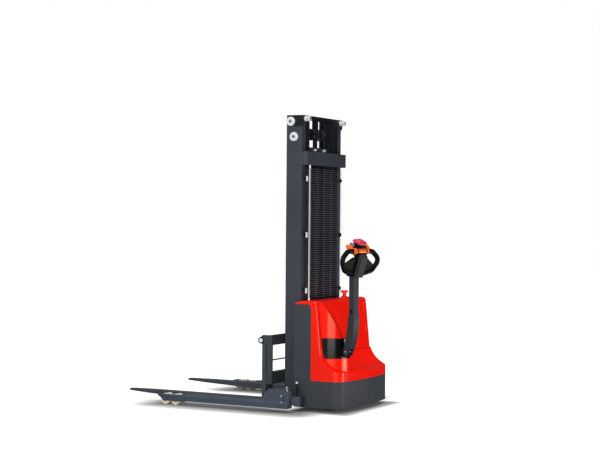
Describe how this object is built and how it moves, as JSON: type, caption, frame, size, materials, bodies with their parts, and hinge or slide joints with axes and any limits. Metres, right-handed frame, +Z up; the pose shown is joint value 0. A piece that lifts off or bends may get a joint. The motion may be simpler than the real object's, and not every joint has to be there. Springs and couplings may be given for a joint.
{
  "type": "electric stacker",
  "caption": "Walk-behind electric stacker with a two-stage chain-lift mast, forged forks, straddle legs, a moulded power-unit hood and a steered tiller arm.",
  "frame": {"origin": "middle of the truck's footprint, on the floor", "axes": "+X forward along the forks, +Y to the truck's left, +Z up"},
  "size_m": [1.924, 1.154, 2.08],
  "materials": {
    "red_cover": "glossy moulded plastic",
    "grey_paint": "satin paint",
    "blue_grey_paint": "satin paint",
    "black_plastic": "fine grain",
    "grey_plastic": "fine grain",
    "orange_plastic": "satin",
    "crimson_plastic": "satin",
    "red_button": "gloss",
    "zinc": "bright zinc plate",
    "steel": "machined",
    "chain_steel": "oiled",
    "cast_neck": "painted casting",
    "guard_wire": "black coated wire",
    "polyurethane": "cream polyurethane",
    "dark_tread": "dark polyurethane",
    "battery_case": "moulded case",
    "grey_machine": "grey machine paint"
  },
  "bodies": {
    "chassis": {"base_frame": "grey_paint", "skirt": "grey_paint", "hood_upper": "red_cover", "hood_lower": "red_cover", "outer_channel_left": "grey_paint", "outer_channel_right": "grey_paint", "mast_top_tie": "grey_paint", "mast_foot": "grey_paint", "mast_crossbar": "grey_paint", "guard_mesh": "guard_wire", "guard_clips": "zinc", "roller_pins": "zinc", "mast_fasteners": "zinc", "lift_cylinder": "grey_machine", "battery": "battery_case", "hydraulic_unit": "grey_machine", "leg_sleeve": "grey_paint", "clamp_screws": "zinc", "chain_rear_runs": "chain_steel"},
    "inner_mast": {"inner_rail_left": "grey_paint", "inner_rail_right": "grey_paint", "crosshead": "grey_paint", "inner_foot_beam": "grey_paint", "lift_rod": "steel", "chain_front_runs": "chain_steel"},
    "carriage": {"carriage_plates": "grey_paint", "upper_bar": "grey_paint", "lower_bar": "grey_paint", "end_plates": "grey_paint", "hanger_shaft": "zinc", "stay_rod": "zinc"},
    "leg_left": {"leg_left": "blue_grey_paint", "load_axles_left": "zinc"},
    "leg_right": {"leg_right": "blue_grey_paint", "load_axles_right": "zinc"},
    "steered_head": {"steering_head": "black_plastic", "drive_unit": "grey_machine"},
    "tiller": {"tiller_neck": "cast_neck", "tiller_tube": "cast_neck", "tiller_head": "black_plastic", "head_cover": "grey_plastic"},
    "chain_sheave_left": {"chain_sheave_left": "steel"},
    "chain_sheave_right": {"chain_sheave_right": "steel"},
    "top_guide_rollers": {"top_guide_rollers": "steel"},
    "foot_guide_rollers": {"foot_guide_rollers": "steel"},
    "carriage_rollers_upper": {"carriage_rollers_upper": "steel"},
    "carriage_rollers_lower": {"carriage_rollers_lower": "steel"},
    "fork_left": {"fork_left": "blue_grey_paint"},
    "fork_right": {"fork_right": "blue_grey_paint"},
    "load_roller_left_rear": {"load_roller_left_rear": "polyurethane"},
    "load_roller_left_front": {"load_roller_left_front": "polyurethane"},
    "load_roller_right_rear": {"load_roller_right_rear": "polyurethane"},
    "load_roller_right_front": {"load_roller_right_front": "polyurethane"},
    "e_stop_button": {"e_stop_button": "red_button"},
    "drive_wheel": {"drive_wheel": "dark_tread"},
    "castor_fork": {"castor_fork": "grey_paint"},
    "castor_wheel": {"castor_wheel": "dark_tread"},
    "throttle_wings": {"throttle_wings": "orange_plastic"},
    "belly_button": {"belly_button": "crimson_plastic"},
    "lift_rocker": {"lift_rocker": "grey_plastic"}
  },
  "joints": [
    {"name": "mast_lift", "type": "slide", "parent": "chassis", "child": "inner_mast", "axis": [0, 0, 1], "range_m": [0, 1.45], "deforming": ["chain_rear_runs"]},
    {"name": "carriage_lift", "type": "slide", "parent": "inner_mast", "child": "carriage", "axis": [0, 0, 1], "range_m": [0, 1.45], "deforming": ["chain_front_runs"]},
    {"name": "sheave_left_turn", "type": "hinge", "parent": "inner_mast", "child": "chain_sheave_left", "pos_m": [-0.357, 0.07, 1.955], "axis": [0, 1, 0], "range_deg": [-2400, 2400]},
    {"name": "sheave_right_turn", "type": "hinge", "parent": "inner_mast", "child": "chain_sheave_right", "pos_m": [-0.357, -0.07, 1.955], "axis": [0, 1, 0], "range_deg": [-2400, 2400]},
    {"name": "top_rollers_turn", "type": "hinge", "parent": "chassis", "child": "top_guide_rollers", "pos_m": [-0.3515, 0, 1.928], "axis": [0, 1, 0], "range_deg": [-2400, 2400]},
    {"name": "foot_rollers_turn", "type": "hinge", "parent": "inner_mast", "child": "foot_guide_rollers", "pos_m": [-0.3515, 0, 0.15], "axis": [0, 1, 0], "range_deg": [-2400, 2400]},
    {"name": "carriage_upper_rollers_turn", "type": "hinge", "parent": "carriage", "child": "carriage_rollers_upper", "pos_m": [-0.3515, 0, 0.47], "axis": [0, 1, 0], "range_deg": [-2400, 2400]},
    {"name": "carriage_lower_rollers_turn", "type": "hinge", "parent": "carriage", "child": "carriage_rollers_lower", "pos_m": [-0.3515, 0, 0.24], "axis": [0, 1, 0], "range_deg": [-2400, 2400]},
    {"name": "fork_left_slide", "type": "slide", "parent": "carriage", "child": "fork_left", "axis": [0, -1, 0], "range_m": [0, 0.2]},
    {"name": "fork_right_slide", "type": "slide", "parent": "carriage", "child": "fork_right", "axis": [0, 1, 0], "range_m": [0, 0.2]},
    {"name": "leg_left_slide", "type": "slide", "parent": "chassis", "child": "leg_left", "axis": [0, 1, 0], "range_m": [0, 0.1]},
    {"name": "leg_right_slide", "type": "slide", "parent": "chassis", "child": "leg_right", "axis": [0, -1, 0], "range_m": [0, 0.1]},
    {"name": "load_roller_left_rear_turn", "type": "hinge", "parent": "leg_left", "child": "load_roller_left_rear", "pos_m": [0.462, 0.532, 0.04], "axis": [0, 1, 0], "continuous": true},
    {"name": "load_roller_left_front_turn", "type": "hinge", "parent": "leg_left", "child": "load_roller_left_front", "pos_m": [0.55, 0.532, 0.04], "axis": [0, 1, 0], "continuous": true},
    {"name": "load_roller_right_rear_turn", "type": "hinge", "parent": "leg_right", "child": "load_roller_right_rear", "pos_m": [0.462, -0.532, 0.04], "axis": [0, 1, 0], "continuous": true},
    {"name": "load_roller_right_front_turn", "type": "hinge", "parent": "leg_right", "child": "load_roller_right_front", "pos_m": [0.55, -0.532, 0.04], "axis": [0, 1, 0], "continuous": true},
    {"name": "steer", "type": "hinge", "parent": "chassis", "child": "steered_head", "pos_m": [-0.619, 0.23, 0], "axis": [0, 0, 1], "range_deg": [-55, 95]},
    {"name": "tiller_tilt", "type": "hinge", "parent": "steered_head", "child": "tiller", "pos_m": [-0.78063, 0.28883, 0.425], "axis": [-0.342, -0.9397, 0], "range_deg": [0, 70], "stiffness_Nm_per_rad": 25, "springref_deg": -28.65},
    {"name": "throttle_turn", "type": "hinge", "parent": "tiller", "child": "throttle_wings", "pos_m": [-0.88529, 0.32692, 1.12478], "axis": [-0.342, -0.9397, 0], "range_deg": [-30, 30], "stiffness_Nm_per_rad": 1.5},
    {"name": "belly_button_press", "type": "slide", "parent": "tiller", "child": "belly_button", "axis": [0.3368, -0.1226, -0.9336], "range_m": [0, 0.007], "stiffness_N_per_m": 1500, "springref_m": -0.004},
    {"name": "lift_rocker_tilt", "type": "hinge", "parent": "tiller", "child": "lift_rocker", "pos_m": [-0.85802, 0.317, 1.1552], "axis": [-0.8773, 0.3193, -0.3584], "range_deg": [-6, 6], "stiffness_Nm_per_rad": 1},
    {"name": "e_stop_press", "type": "slide", "parent": "chassis", "child": "e_stop_button", "axis": [0, 0, -1], "range_m": [0, 0.005]},
    {"name": "drive_wheel_turn", "type": "hinge", "parent": "steered_head", "child": "drive_wheel", "pos_m": [-0.619, 0.23, 0.105], "axis": [-0.342, -0.9397, 0], "continuous": true},
    {"name": "castor_swivel", "type": "hinge", "parent": "chassis", "child": "castor_fork", "pos_m": [-0.619, -0.23, 0], "axis": [0, 0, 1], "continuous": true},
    {"name": "castor_wheel_turn", "type": "hinge", "parent": "castor_fork", "child": "castor_wheel", "pos_m": [-0.657, -0.23, 0.062], "axis": [0, 1, 0], "continuous": true}
  ],
  "couplings": [
    {"joint": "carriage_lift", "follows": "mast_lift", "ratio": 1},
    {"joint": "sheave_left_turn", "follows": "mast_lift", "rad_per_m": -26.316},
    {"joint": "sheave_right_turn", "follows": "mast_lift", "rad_per_m": -26.316},
    {"joint": "top_rollers_turn", "follows": "mast_lift", "rad_per_m": 21.277},
    {"joint": "foot_rollers_turn", "follows": "mast_lift", "rad_per_m": -20.833},
    {"joint": "carriage_upper_rollers_turn", "follows": "mast_lift", "rad_per_m": 21.277},
    {"joint": "carriage_lower_rollers_turn", "follows": "mast_lift", "rad_per_m": -21.277}
  ]
}
